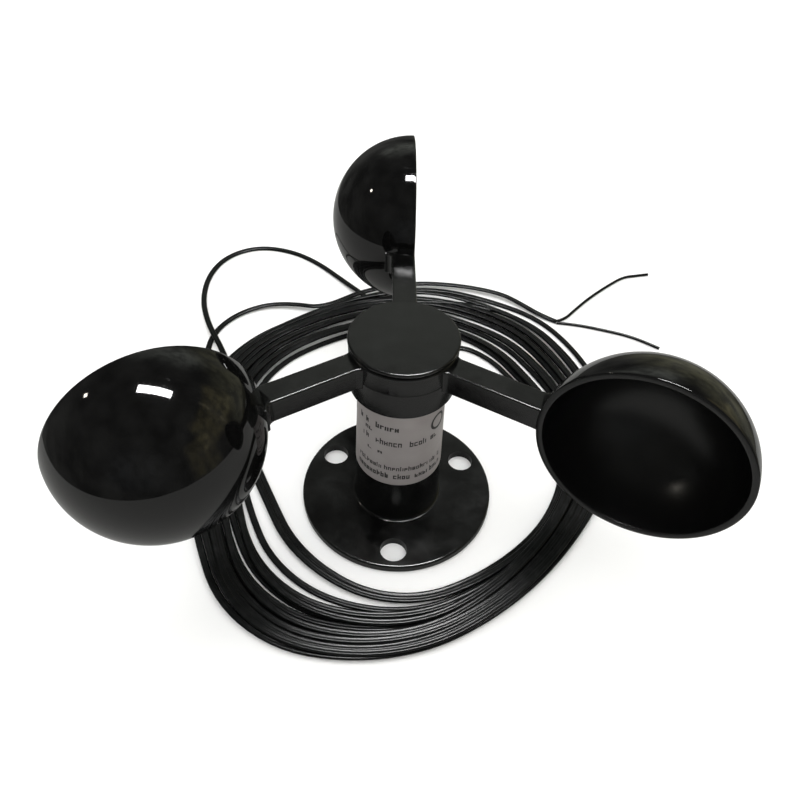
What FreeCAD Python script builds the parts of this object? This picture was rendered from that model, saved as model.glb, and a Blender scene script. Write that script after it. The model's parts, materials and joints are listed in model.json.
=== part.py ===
import FreeCAD, Part
import math
import os
import re
import Sketcher

# Three-cup wind sensor on a flanged post, with its loosely coiled two-core lead.
# Millimetres. +Z is up the rotor axis, the origin is the centre of the flange's underside,
# the lead leaves towards +Y, and one flange hole lies on -Y.

Vec = FreeCAD.Vector
UP = Vec(0, 0, 1)

sizes = {
    # flange and post
    "flange_radius": 32.0,
    "flange_thickness": 3.0,
    "flange_edge": 0.7,
    "bolt_circle": 25.5,
    "bolt_hole_radius": 4.3,
    "post_foot": 14.1,
    "post_neck": 12.9,
    "post_top": 58.0,
    "foot_fillet": 0.9,
    "chamber_radius": 10.5,
    "chamber_top": 30.0,
    "recess_radius": 12.2,
    "recess_depth": 2.6,
    # bottom cover
    "cover_gap": 0.5,
    "cover_thickness": 1.6,
    "cover_play": 0.1,
    "boss_circle": 8.9,
    "boss_radius": 2.3,
    "boss_top": 7.0,
    "screw_shank": 1.0,
    "screw_head": 1.9,
    "screw_head_depth": 1.2,
    "screw_grip": 4.6,
    "screw_slot": 0.5,
    # lead exit
    "exit_level": 9.0,
    "exit_boss_radius": 5.2,
    "exit_boss_face": 15.0,
    "exit_hole": 3.4,
    "exit_end": 25.0,
    "grommet_inner_end": 8.1,
    "grommet_flange": 0.8,
    "grommet_neck": 1.2,
    "collar_depth": 1.6,
    "rib_pitch": 1.9,
    "rib_width": 0.6,
    "rib_depth": 0.5,
    "nose_wall": 0.5,
    # bearings and shaft
    "shaft_radius": 2.5,
    "shaft_step": 0.5,
    "bearing_outer": 6.5,
    "bearing_width": 4.0,
    "race_inner": 3.9,
    "race_outer": 5.1,
    "ball_circle": 4.5,
    "ball_radius": 0.8,
    "ball_play": 0.03,
    "ball_count": 8,
    "cage_half_wall": 0.25,
    "cage_half_width": 1.1,
    "cage_play": 0.06,
    "bearing_low": 34.0,
    "bearing_high": 52.0,
    "spacer_step": 0.2,
    "web_hole": 4.5,
    "retainer_height": 1.0,
    "retainer_gap": 3.4,
    "clip_height": 0.8,
    "clip_groove": 0.4,
    "thread_length": 4.4,
    # pickup board
    "board_level": 19.0,
    "board_thickness": 1.2,
    "board_radius": 10.2,
    "standoff_circle": 8.3,
    "standoff_radius": 1.7,
    "standoff_hole": 0.8,
    "standoff_hole_depth": 5.0,
    "board_screw_head": 1.5,
    "board_screw_depth": 1.0,
    "sensor_length": 3.0,
    "sensor_width": 4.0,
    "sensor_height": 1.5,
    "chip_side": 4.0,
    "chip_height": 1.6,
    "chip_place": 2.7,
    "capacitor_radius": 1.7,
    "capacitor_height": 4.5,
    "capacitor_place": 6.0,
    "terminal_length": 5.6,
    "terminal_width": 3.4,
    "terminal_height": 4.0,
    "terminal_place": 3.0,
    "carrier_low": 25.4,
    "carrier_high": 29.3,
    "carrier_radius": 5.8,
    "magnet_circle": 4.2,
    "magnet_radius": 1.25,
    "magnet_height": 2.2,
    # label
    "label_low": 21.5,
    "label_high": 53.0,
    "label_thickness": 0.15,
    "label_wrap": 300.0,
    # rotor
    "hub_radius": 15.7,
    "hub_low": 54.0,
    "hub_high": 69.3,
    "hub_edge": 0.5,
    "skirt_bore": 14.2,
    "hub_floor": 59.0,
    "hub_web": 63.0,
    "hub_recess": 11.0,
    "seam_depth": 0.3,
    "seam_half": 0.2,
    "cap_radius": 15.9,
    "cap_low": 69.9,
    "cap_high": 71.2,
    "cap_edge": 0.55,
    "cap_neck": 15.1,
    "cap_spigot": 1.6,
    "washer_radius": 4.5,
    "washer_height": 0.8,
    "nut_corner": 4.04,
    "nut_height": 2.8,
    "cup_circle": 70.0,
    "cup_level": 64.5,
    "cup_radius": 27.6,
    "cup_wall": 1.8,
    "cup_lip": 0.4,
    "rim_offset": 4.3,
    "arm_width": 7.3,
    "arm_height": 7.6,
    "arm_flare": 2.3,
    "arm_edge": 0.5,
    "arm_sink": 0.1,
    "arm_tip": 1.2,
    # two-core lead
    "lead_width": 2.3,
    "core_width": 1.2,
    "inner_core_width": 1.08,
    "coil_height": 5.0,
    "coil_edge": 1.5,
}
rotor_rest = 3.0  # degrees that the first arm stands past +Y

# The lead's route where it isn't coiled, hand-chosen points.
inner_core_route = [(1.5, 3, 15), (1.5, 3.2, 12.4), (0.72, 5, 9.6), (0.72, 8.1, 9)]
lead_route = [
    (0, 25, 9), (0.4, 32.5, 8.5), (1.4, 42, 3.6), (3.2, 53, 1.3),
    (7, 64, 1.3), (14.5, 72.5, 1.3), (24, 77, 1.3),
]
big_loop_route = [
    (-14, 100, 1.3), (-28, 116, 1.3), (-42, 130, 1.3), (-56, 138.5, 1.3), (-72, 140.5, 1.3),
    (-85, 132, 1.3), (-90.5, 117, 1.3), (-89.5, 99, 1.3), (-83, 81, 1.3), (-74, 66, 1.3),
    (-69, 55, 1.3),
]
small_loop_route = [
    (-36, 95, 3.6), (-49, 97.5, 3.2), (-62, 96.5, 2.2), (-74, 88.5, 1.4), (-80.5, 75.5, 1.3),
    (-79.5, 60, 1.3), (-75, 47, 1.3),
]
tail_route = [
    (42, 112.5, 2.6), (51, 106, 2.2), (59, 99.5, 1.6), (66, 95.8, 1.3),
]
upper_core_route = [
    (66.3, 96.3, 0.8), (70, 98, 0.8), (75, 104.5, 0.8), (83, 114, 0.8), (92, 123, 0.8),
    (101, 131, 0.8), (107.5, 132.8, 0.8), (113.4, 134.3, 0.8),
]
lower_core_route = [
    (66, 95.1, 0.8), (74, 94.6, 0.8), (85, 92, 0.8), (95.5, 89, 0.8), (103, 85, 0.8),
    (108, 81.6, 0.8),
]

# The coil's outline about its own centre: distance to its outside and inside every 30 degrees.
coil_centre = (2, 25)
coil_outside = [78, 85.5, 94.5, 91.5, 82, 85, 81, 80, 92, 86, 75, 71.5]
coil_inside = [56, 51, 55.5, 57, 55.5, 58, 57, 52, 59, 65, 60, 58]

doc = FreeCAD.newDocument("wind_sensor")
sheet = doc.addObject("Spreadsheet::Sheet", "Sizes")
for row, (alias, value) in enumerate(sizes.items(), start=1):
    sheet.set(f"A{row}", alias)
    sheet.set(f"B{row}", str(value))
    sheet.setAlias(f"B{row}", alias)
doc.recompute()

nodes = {}


def on_sheet(expression):
    """An expression of plain value names, written as the document wants it."""
    return re.sub(r"[a-z_]+", lambda m: "Sizes." + m[0] if m[0] in sizes else m[0], expression)


def at(expression):
    """The number that an expression of value names stands for."""
    return float(sheet.evalExpression(on_sheet(expression)))


def bind(obj, **expressions):
    """Ties properties to expressions; a double underscore in a name stands for a dot."""
    for prop, expression in expressions.items():
        obj.setExpression(prop.replace("__", "."), on_sheet(expression))


def node(name, obj):
    """Names an object as a finished sub-part."""
    obj.Label = name
    nodes[name] = obj
    return obj


# Sketches and bodies

def origin_part(body, role):
    return next(f for f in body.Origin.OriginFeatures if f.Role == role)


def new_sketch(body, name, plane="XZ_Plane", offset="0"):
    """A sketch on one of the body's own planes, set off along the plane's normal."""
    sketch = body.newObject("Sketcher::SketchObject", name)
    sketch.AttachmentSupport = [(origin_part(body, plane), "")]
    sketch.MapMode = "FlatFace"
    bind(sketch, AttachmentOffset__Base__z=offset)
    return sketch


def pin(sketch, geo, pos, x, y):
    """Holds a sketch point at a distance from the origin along each axis."""
    for kind, expression, axis in (("DistanceX", x, -2), ("DistanceY", y, -1)):
        value = at(expression)
        if abs(value) < 1e-9:
            sketch.addConstraint(Sketcher.Constraint("PointOnObject", geo, pos, axis))
            continue
        ends = (-1, 1, geo, pos) if value > 0 else (geo, pos, -1, 1)
        index = sketch.addConstraint(Sketcher.Constraint(kind, *ends, abs(value)))
        held = expression if value > 0 else f"-({expression})"
        sketch.setExpression(f"Constraints[{index}]", on_sheet(held))


def outline(sketch, corners):
    """A closed outline. A corner is (x, y), or (x, y, radius) when an arc runs from it to the
    next corner: a positive radius turns left, a negative one turns right."""
    points = [Vec(at(c[0]), at(c[1]), 0) for c in corners]
    ends = []
    for i, corner in enumerate(corners):
        start, stop = points[i], points[(i + 1) % len(points)]
        if len(corner) == 2:
            geo = sketch.addGeometry(Part.LineSegment(start, stop))
            ends.append((geo, 1, 2))
            continue
        radius = at(corner[2])
        left = 1 if radius > 0 else -1
        chord = stop - start
        rise = math.sqrt(max(radius ** 2 - (chord.Length / 2) ** 2, 0))
        aside = UP.cross(chord).normalize() * rise * left
        centre = (start + stop) / 2 + aside
        first, last = (start, stop) if left == 1 else (stop, start)
        angles = [math.atan2(p.y - centre.y, p.x - centre.x) for p in (first, last)]
        if angles[1] < angles[0]:
            angles[1] += 2 * math.pi
        arc = Part.ArcOfCircle(Part.Circle(centre, UP, abs(radius)), *angles)
        geo = sketch.addGeometry(arc)
        ends.append((geo, 1, 2) if left == 1 else (geo, 2, 1))
    for i, (geo, _, stop) in enumerate(ends):
        after, start, _ = ends[(i + 1) % len(ends)]
        sketch.addConstraint(Sketcher.Constraint("Coincident", geo, stop, after, start))
    for (geo, start, _), corner in zip(ends, corners):
        pin(sketch, geo, start, corner[0], corner[1])
        if len(corner) == 3:
            size = abs(at(corner[2]))
            index = sketch.addConstraint(Sketcher.Constraint("Radius", geo, size))
            held = corner[2] if at(corner[2]) > 0 else f"-({corner[2]})"
            sketch.setExpression(f"Constraints[{index}]", on_sheet(held))


def ring_mark(sketch, x, y, radius):
    """A circle in a sketch."""
    circle = Part.Circle(Vec(at(x), at(y), 0), UP, at(radius))
    geo = sketch.addGeometry(circle)
    index = sketch.addConstraint(Sketcher.Constraint("Radius", geo, at(radius)))
    sketch.setExpression(f"Constraints[{index}]", on_sheet(radius))
    pin(sketch, geo, 3, x, y)


def turned(name, corners, plane="XZ_Plane", angle=360):
    """A body turned about the vertical axis of its sketch from an outline of (radius, level)."""
    body = doc.addObject("PartDesign::Body", name)
    sketch = new_sketch(body, name + "_profile", plane)
    outline(sketch, corners)
    turn = body.newObject("PartDesign::Revolution", name + "_turn")
    turn.Profile = sketch
    turn.ReferenceAxis = (sketch, ["V_Axis"])
    turn.Angle = angle
    turn.Midplane = angle < 360
    doc.recompute()
    return body


def pad(body, sketch, length, reverse=False, middle=False):
    feature = body.newObject("PartDesign::Pad", sketch.Name + "_pad")
    feature.Profile = sketch
    feature.Reversed = reverse
    feature.Midplane = middle
    bind(feature, Length=length)
    doc.recompute()
    return feature


def pocket(body, sketch, depth, reverse=False):
    """Cuts a sketch into its body and makes sure that it took material away."""
    before = body.Shape.Volume
    feature = body.newObject("PartDesign::Pocket", sketch.Name + "_cut")
    feature.Profile = sketch
    feature.Reversed = reverse
    bind(feature, Length=depth)
    doc.recompute()
    if body.Shape.Volume > before - 1e-3:
        raise RuntimeError(f"{sketch.Name} cuts nothing")
    return feature


def around(body, feature, count=3):
    """Repeats a feature about the rotor axis."""
    before = body.Shape.Volume
    pattern = body.newObject("PartDesign::PolarPattern", feature.Name + "_around")
    pattern.Originals = [feature]
    pattern.Axis = (origin_part(body, "Z_Axis"), [""])
    pattern.Angle = 360
    pattern.Occurrences = count
    body.Tip = pattern
    doc.recompute()
    if abs(body.Shape.Volume - before) < 1e-3:
        raise RuntimeError(f"{feature.Name} isn't repeated")
    return pattern


def round_edges(body, radius, wanted):
    """Fillets the edges that pass a test on the edge."""
    base = body.Tip
    edges = [f"Edge{i}" for i, e in enumerate(base.Shape.Edges, start=1) if wanted(e)]
    fillet = body.newObject("PartDesign::Fillet", base.Name + "_round")
    fillet.Base = (base, edges)
    bind(fillet, Radius=radius)
    doc.recompute()
    return fillet


def circle_of(edge):
    """An edge's circle, or None where it has another shape or no length."""
    if edge.Degenerated or not isinstance(edge.Curve, Part.Circle):
        return None
    return edge.Curve


def is_ring(edge, radius, level):
    """Whether an edge is a full circle of that radius and level about the rotor axis."""
    circle = circle_of(edge)
    if not circle or not edge.isClosed():
        return False
    off = math.hypot(circle.Center.x, circle.Center.y)
    return max(off, abs(circle.Radius - at(radius)), abs(circle.Center.z - at(level))) < 1e-4


# Solids and booleans

def cylinder(name, radius, length, place=(0, 0, 0), axis=(0, 0, 1)):
    """A cylinder standing on a point given as three expressions."""
    obj = doc.addObject("Part::Cylinder", name)
    bind(obj, Radius=radius, Height=length)
    return stand(obj, place, axis)


def block(name, size, place):
    """A box centred on its place in x and y and standing on it."""
    obj = doc.addObject("Part::Box", name)
    bind(obj, Length=size[0], Width=size[1], Height=size[2])
    corner = (f"({place[0]}) - ({size[0]}) / 2", f"({place[1]}) - ({size[1]}) / 2", place[2])
    return stand(obj, corner)


def stand(obj, place, axis=(0, 0, 1)):
    obj.Placement = FreeCAD.Placement(Vec(), FreeCAD.Rotation(UP, Vec(*axis)))
    bind(obj, Placement__Base__x=place[0], Placement__Base__y=place[1],
         Placement__Base__z=place[2])
    return obj


def cut(name, base, tool):
    obj = doc.addObject("Part::Cut", name)
    obj.Base = base
    obj.Tool = tool
    return obj


def join(name, shapes, kind="Part::MultiFuse"):
    obj = doc.addObject(kind, name)
    if kind == "Part::Compound":
        obj.Links = shapes
    else:
        obj.Shapes = shapes
    return obj


def group(name, shapes):
    """Separate solids that are one sub-part."""
    return join(name, shapes, "Part::Compound")


def spot(circle, degrees, level):
    """A place on a circle about the rotor axis, as expressions."""
    return (f"({circle}) * cos({degrees} deg)", f"({circle}) * sin({degrees} deg)", level)


def sleeve(name, inner, outer, low, high):
    """A plain ring about the rotor axis."""
    return turned(name, [(inner, low), (outer, low), (outer, high), (inner, high)])


boss_angles = (-90, 30, 150)
standoff_angles = (-30, 90, 210)
board_top = "board_level + board_thickness"


def post_radius(level):
    """The tapering post's outer radius at a level, as an expression."""
    taper = "(post_foot - post_neck) / (post_top - flange_thickness)"
    return f"post_foot - ({level} - flange_thickness) * {taper}"


# Base: flange and post in one moulding

def make_base_post():
    seat = "bearing_low"
    body = turned("base_post", [
        ("recess_radius", "0"),
        ("flange_radius", "0"),
        ("flange_radius", "flange_thickness"),
        ("post_foot", "flange_thickness"),
        ("post_neck", "post_top"),
        ("bearing_outer", "post_top"),
        ("bearing_outer", seat),
        ("web_hole", seat),
        ("web_hole", "chamber_top"),
        ("chamber_radius", "chamber_top"),
        ("chamber_radius", "recess_depth"),
        ("recess_radius", "recess_depth"),
    ])
    round_edges(body, "flange_edge", lambda e: is_ring(
        e, "flange_radius", "0") or is_ring(e, "flange_radius", "flange_thickness"))
    round_edges(body, "foot_fillet", lambda e: is_ring(
        e, "post_foot", "flange_thickness") or is_ring(e, "post_neck", "post_top"))

    exit_boss = new_sketch(body, "exit_boss", "XZ_Plane", "-(chamber_radius + 1)")
    ring_mark(exit_boss, "0", "exit_level", "exit_boss_radius")
    pad(body, exit_boss, "exit_boss_face - chamber_radius - 1", reverse=True)
    exit_bore = new_sketch(body, "exit_bore", "XZ_Plane", "-exit_boss_face")
    ring_mark(exit_bore, "0", "exit_level", "exit_hole")
    pocket(body, exit_bore, "exit_boss_face - chamber_radius + 2", reverse=True)

    bolt_hole = new_sketch(body, "bolt_hole", "XY_Plane")
    ring_mark(bolt_hole, "0", "-bolt_circle", "bolt_hole_radius")
    around(body, pocket(body, bolt_hole, "flange_thickness", reverse=True))

    # bosses that take the cover's screws
    boss = new_sketch(body, "cover_boss", "XY_Plane", "recess_depth")
    ring_mark(boss, "0", "-boss_circle", "boss_radius")
    around(body, pad(body, boss, "boss_top - recess_depth"))
    boss_hole = new_sketch(body, "cover_boss_hole", "XY_Plane", "recess_depth")
    ring_mark(boss_hole, "0", "-boss_circle", "screw_shank")
    around(body, pocket(body, boss_hole, "boss_top - recess_depth", reverse=True))

    # standoffs that hang from the chamber's roof and carry the board
    standoff = new_sketch(body, "standoff", "XY_Plane", board_top)
    ring_mark(standoff, "0", "standoff_circle", "standoff_radius")
    around(body, pad(body, standoff, f"chamber_top - ({board_top})"))
    standoff_bore = new_sketch(body, "standoff_bore", "XY_Plane", board_top)
    ring_mark(standoff_bore, "0", "standoff_circle", "standoff_hole")
    around(body, pocket(body, standoff_bore, "standoff_hole_depth", reverse=True))
    node("base_post", body)


def make_screw(name, place, head, head_depth, shank, length):
    """A pan-head screw driven upwards, its head's flat face at its place."""
    x, y, level = place
    body = join(name + "_solid", [
        cylinder(name + "_head", head, head_depth, place),
        cylinder(name + "_shank", shank, f"{head_depth} + {length}", place),
    ])
    slot = block(name + "_slot", (f"{head} * 1.5", "screw_slot", "screw_slot"), (x, y, level))
    return cut(name, body, slot)


def make_bottom_cover():
    low = "cover_gap"
    rim = "recess_radius - cover_play"
    disc = cylinder("cover_disc", rim, "cover_thickness", ("0", "0", low))
    holes = []
    screws = []
    for i, angle in enumerate(boss_angles, start=1):
        place = spot("boss_circle", angle, low)
        holes.append(cylinder(f"cover_sink_{i}", "screw_head + cover_play", "screw_head_depth",
                              place))
        holes.append(cylinder(f"cover_hole_{i}", "screw_shank + cover_play", "cover_thickness",
                              place))
        screws.append(make_screw(f"cover_screw_{i}", place, "screw_head", "screw_head_depth",
                                 "screw_shank", "screw_grip"))
    node("bottom_cover", cut("bottom_cover", disc, join("cover_holes", holes)))
    node("cover_screws", group("cover_screws", screws))
    node("cover_gasket", sleeve("cover_gasket", "chamber_radius + cover_play", rim,
                                "cover_gap + cover_thickness", "recess_depth"))


def make_lead_grommet():
    """Strain relief turned about +Y: a snap flange, the neck, a collar and a ribbed nose."""
    bore = "lead_width / 2"
    neck_end = "chamber_radius - grommet_neck"
    collar = "exit_boss_radius - grommet_flange / 2"
    nose = "exit_boss_face + collar_depth"
    corners = [
        (bore, "grommet_inner_end"),
        ("exit_hole + grommet_flange", "grommet_inner_end"),
        ("exit_hole + grommet_flange", neck_end),
        ("exit_hole", neck_end),
        ("exit_hole", "exit_boss_face"),
        (collar, "exit_boss_face"),
        (collar, nose),
        ("exit_hole", nose),
    ]
    ribs = 4
    for rib in range(ribs):
        radius = f"exit_hole - rib_width / 2 * {rib + 1}"
        waist = f"{radius} - rib_depth"
        low = f"{nose} + rib_pitch * {rib} + rib_width"
        corners += [(waist, low), (waist, f"{low} + rib_width"),
                    (radius, f"{low} + rib_width"), (radius, f"{low} + rib_width * 2")]
    corners += [(f"{bore} + nose_wall", "exit_end"), (bore, "exit_end")]
    body = turned("lead_grommet", corners, "XY_Plane")
    bind(body, Placement__Base__z="exit_level")
    node("lead_grommet", body)


# Pickup board under the magnet carrier

def make_board():
    disc = cylinder("board_disc", "board_radius", "board_thickness", ("0", "0", "board_level"))
    holes = []
    screws = []
    for i, angle in enumerate(standoff_angles, start=1):
        holes.append(cylinder(f"board_hole_{i}", "standoff_hole + cover_play", "board_thickness",
                              spot("standoff_circle", angle, "board_level")))
        place = spot("standoff_circle", angle, "board_level - board_screw_depth")
        screws.append(make_screw(f"board_screw_{i}", place, "board_screw_head",
                                 "board_screw_depth", "standoff_hole", "standoff_hole_depth"))
    node("pickup_board", cut("pickup_board", disc, join("board_holes", holes)))
    node("board_screws", group("board_screws", screws))
    node("hall_sensor", block("hall_sensor", ("sensor_length", "sensor_width", "sensor_height"),
                              ("magnet_circle", "0", board_top)))
    under_chip = "board_level - chip_height"
    under_capacitor = "board_level - capacitor_height"
    chips = []
    for side, sign in (("left", "-"), ("right", "")):
        chips.append(block(f"chip_{side}", ("chip_side", "chip_side", "chip_height"),
                           (f"{sign}chip_place", "-chip_place", under_chip)))
        chips.append(cylinder(f"capacitor_{side}", "capacitor_radius", "capacitor_height",
                              (f"{sign}capacitor_place", "capacitor_radius", under_capacitor)))
    node("board_chips", group("board_chips", chips))
    terminal = ("terminal_length", "terminal_width", "terminal_height")
    node("lead_terminal", block("lead_terminal", terminal,
                                ("0", "terminal_place", "board_level - terminal_height")))


def make_inner_leads():
    """The two cores from the terminal to the grommet, and the lead held inside the grommet."""
    leads = []
    for i, side in enumerate((-1, 1), start=1):
        route = [(side * x, y, z) for x, y, z in inner_core_route]
        leads.append(tube(f"inner_lead_{i}", route, sizes["inner_core_width"] / 2))
    node("inner_leads", group("inner_leads", leads))
    node("clamped_lead", cylinder("clamped_lead", "lead_width / 2",
                                  "exit_end - grommet_inner_end",
                                  ("0", "grommet_inner_end", "exit_level"), (0, 1, 0)))


# Bearings, shaft and magnets

def make_bearing(name, low):
    """A deep-groove ball bearing standing on a level: two races, the balls and their cage."""
    middle = f"{low} + bearing_width / 2"
    high = f"{low} + bearing_width"
    rings = {
        "outer": ("race_outer", "bearing_outer"),
        "inner": ("shaft_radius", "race_inner"),
    }
    for side, (inner, outer) in rings.items():
        groove = doc.addObject("Part::Torus", f"{name}_{side}_groove")
        bind(groove, Radius1="ball_circle", Radius2="ball_radius + ball_play",
             Placement__Base__z=middle)
        ring = sleeve(f"{name}_{side}_ring", inner, outer, low, high)
        node(f"{name}_{side}_race", cut(f"{name}_{side}_race", ring, groove))
    balls = []
    windows = []
    count = int(sizes["ball_count"])
    for i in range(count):
        angle = 360 * i / count
        ball = doc.addObject("Part::Sphere", f"{name}_ball_{i + 1}")
        bind(ball, Radius="ball_radius")
        balls.append(stand(ball, spot("ball_circle", angle, middle)))
        outward = (math.cos(math.radians(angle)), math.sin(math.radians(angle)), 0)
        windows.append(cylinder(f"{name}_window_{i + 1}", "ball_radius + cage_play",
                                "race_outer", ("0", "0", middle), outward))
    node(f"{name}_balls", group(f"{name}_balls", balls))
    band = sleeve(f"{name}_band", "ball_circle - cage_half_wall", "ball_circle + cage_half_wall",
                  f"{middle} - cage_half_width", f"{middle} + cage_half_width")
    node(f"{name}_cage", cut(f"{name}_cage", band, join(f"{name}_windows", windows)))


def make_spacers():
    low = "bearing_low + bearing_width"
    top = "bearing_high + bearing_width"
    inner = ("shaft_radius", "race_inner - spacer_step")
    outer = ("race_outer + spacer_step", "bearing_outer")
    node("outer_spacer", sleeve("outer_spacer", *outer, low, "bearing_high"))
    node("inner_spacer", sleeve("inner_spacer", *inner, low, "bearing_high"))
    node("hub_spacer", sleeve("hub_spacer", *inner, top, "hub_floor"))
    ring = sleeve("retainer_ring", *outer, top, f"{top} + retainer_height")
    gap = block("retainer_split", ("retainer_gap", "bearing_outer * 2", "retainer_height * 2"),
                ("0", "bearing_outer", f"{top} - retainer_height / 2"))
    node("bearing_retainer", cut("bearing_retainer", ring, gap))


def make_shaft():
    groove = "bearing_low - clip_height"
    thread = "shaft_radius - shaft_step"
    end = "hub_web + thread_length"
    chamfer = "clip_groove"
    node("shaft", turned("shaft", [
        ("0", "carrier_low"),
        (f"shaft_radius - {chamfer}", "carrier_low"),
        ("shaft_radius", f"carrier_low + {chamfer}"),
        ("shaft_radius", groove),
        ("shaft_radius - clip_groove", groove),
        ("shaft_radius - clip_groove", "bearing_low"),
        ("shaft_radius", "bearing_low"),
        ("shaft_radius", "hub_web"),
        (thread, "hub_web"),
        (thread, f"{end} - {chamfer}"),
        (f"{thread} - {chamfer}", end),
        ("0", end),
    ]))
    node("shaft_clip", sleeve("shaft_clip", "shaft_radius - clip_groove",
                              "race_inner - spacer_step", groove, "bearing_low"))


def make_magnets():
    """A carrier on the shaft's lower end with two magnets pressed into its underside."""
    ring = sleeve("carrier_ring", "shaft_radius", "carrier_radius", "carrier_low",
                  "carrier_high")
    magnets = []
    holes = []
    for i, angle in enumerate((0, 180), start=1):
        for kind, made in (("magnet", magnets), ("magnet_hole", holes)):
            made.append(cylinder(f"{kind}_{i}", "magnet_radius", "magnet_height",
                                 spot("magnet_circle", angle, "carrier_low")))
    node("magnet_carrier", cut("magnet_carrier", ring, join("magnet_holes", holes)))
    node("magnets", group("magnets", magnets))


# Label round the post

def make_label():
    """A thin sleeve on the tapering post, open at the back."""
    low = "label_low"
    high = "label_high"
    body = turned("post_label", [
        (post_radius(low), low),
        (f"{post_radius(low)} + label_thickness", low),
        (f"{post_radius(high)} + label_thickness", high),
        (post_radius(high), high),
    ], angle=sizes["label_wrap"])
    body.Placement = FreeCAD.Placement(Vec(), FreeCAD.Rotation(UP, -90))
    node("post_label", body)


# Rotor

def make_hub():
    seam = "hub_web"
    body = turned("hub", [
        ("shaft_radius", "hub_floor"),
        ("skirt_bore", "hub_floor"),
        ("skirt_bore", "hub_low"),
        ("hub_radius", "hub_low"),
        ("hub_radius", f"{seam} - seam_half"),
        ("hub_radius - seam_depth", seam),
        ("hub_radius", f"{seam} + seam_half"),
        ("hub_radius", "hub_high"),
        ("hub_recess", "hub_high"),
        ("hub_recess", "hub_web"),
        ("shaft_radius", "hub_web"),
    ])
    round_edges(body, "hub_edge", lambda e: is_ring(e, "hub_radius", "hub_low")
                or is_ring(e, "hub_radius", "hub_high"))
    node("hub", body)


def make_hub_cap():
    """A lid whose neck leaves a fine dark groove above the hub's wall."""
    spigot = "hub_recess - ball_play"
    spigot_end = "hub_high - cap_spigot"
    body = turned("hub_cap", [
        ("0", spigot_end),
        (spigot, spigot_end),
        (spigot, "hub_high"),
        ("cap_neck", "hub_high"),
        ("cap_neck", "cap_low"),
        ("cap_radius", "cap_low"),
        ("cap_radius", "cap_high"),
        ("0", "cap_high"),
    ])
    round_edges(body, "cap_edge", lambda e: is_ring(e, "cap_radius", "cap_low")
                or is_ring(e, "cap_radius", "cap_high"))
    node("hub_cap", body)


def make_hub_nut():
    thread = "shaft_radius - shaft_step"
    seat = "hub_web + washer_height"
    node("hub_washer", sleeve("hub_washer", thread, "washer_radius", "hub_web", seat))
    prism = doc.addObject("Part::Prism", "nut_prism")
    prism.Polygon = 6
    bind(prism, Circumradius="nut_corner", Height="nut_height", Placement__Base__z=seat)
    bore = cylinder("nut_bore", thread, "nut_height + washer_height", ("0", "0", "hub_web"))
    node("hub_nut", cut("hub_nut", prism, bore))


def rim_frame(azimuth):
    """The frame of a cup's rim plane: x outwards, y the way the rotor turns, z up."""
    turn = FreeCAD.Rotation(UP, azimuth)
    base = turn.multVec(Vec(0, -sizes["rim_offset"], 0)) + UP * sizes["cup_level"]
    return FreeCAD.Placement(base, turn)


def make_cup(name, azimuth):
    """A hemispherical shell, convex the way the rotor turns, its rim flush with the arm."""
    inner = "cup_radius - cup_wall"
    body = turned(name, [
        (inner, "0"),
        ("cup_radius", "0", "cup_radius"),
        ("0", "cup_radius"),
        ("0", inner, f"-({inner})"),
    ], "XY_Plane")
    round_edges(body, "cup_lip", lambda e: circle_of(e) and abs(circle_of(e).Axis.y) > 0.99)
    place = rim_frame(azimuth)
    out = place.Rotation.multVec(Vec(sizes["cup_circle"], 0, 0))
    body.Placement = FreeCAD.Placement(place.Base + out, place.Rotation)
    node(name, body)


def make_arm(name, azimuth):
    """A square bar from the hub's wall to the cup's, flared where it meets them."""
    width = "arm_width"
    flared = "arm_width + arm_flare"
    near, far = [f"arm_flare - arm_sink + sqrt(hub_radius * hub_radius - ({out}) * ({out}))"
                 for out in ("rim_offset + arm_flare", "arm_width - rim_offset + arm_flare")]
    tip = "cup_circle - cup_radius - arm_tip"
    sunk = "arm_height"
    body = doc.addObject("PartDesign::Body", name + "_bar")
    sketch = new_sketch(body, name + "_plan", "XY_Plane")
    outline(sketch, [
        (f"{near} - {sunk}", "-arm_flare"),
        (f"{near} - arm_flare", "-arm_flare", "-arm_flare"),
        (near, "0"),
        (f"{tip} + {sunk}", "0"),
        (f"{tip} + {sunk}", flared),
        (f"{tip} + arm_flare", flared, "-arm_flare"),
        (tip, width),
        (far, width, "-arm_flare"),
        (f"{far} - arm_flare", flared),
        (f"{near} - {sunk}", flared),
    ])
    pad(body, sketch, "arm_height", middle=True)
    long_bar = 0.9 * (at(tip) - at(far))
    round_edges(body, "arm_edge",
                lambda e: isinstance(e.Curve, Part.Line) and e.Length > long_bar)
    ball = doc.addObject("Part::Sphere", name + "_cup_seat")
    bind(ball, Radius="cup_radius", Placement__Base__x="cup_circle")
    drum = cylinder(name + "_hub_seat", "hub_radius", "arm_height * 2",
                    ("0", "rim_offset", "-arm_height"))
    arm = cut(name, body, join(name + "_seats", [ball, drum]))
    arm.Placement = rim_frame(azimuth)
    node(name, arm)


# The lead

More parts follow.
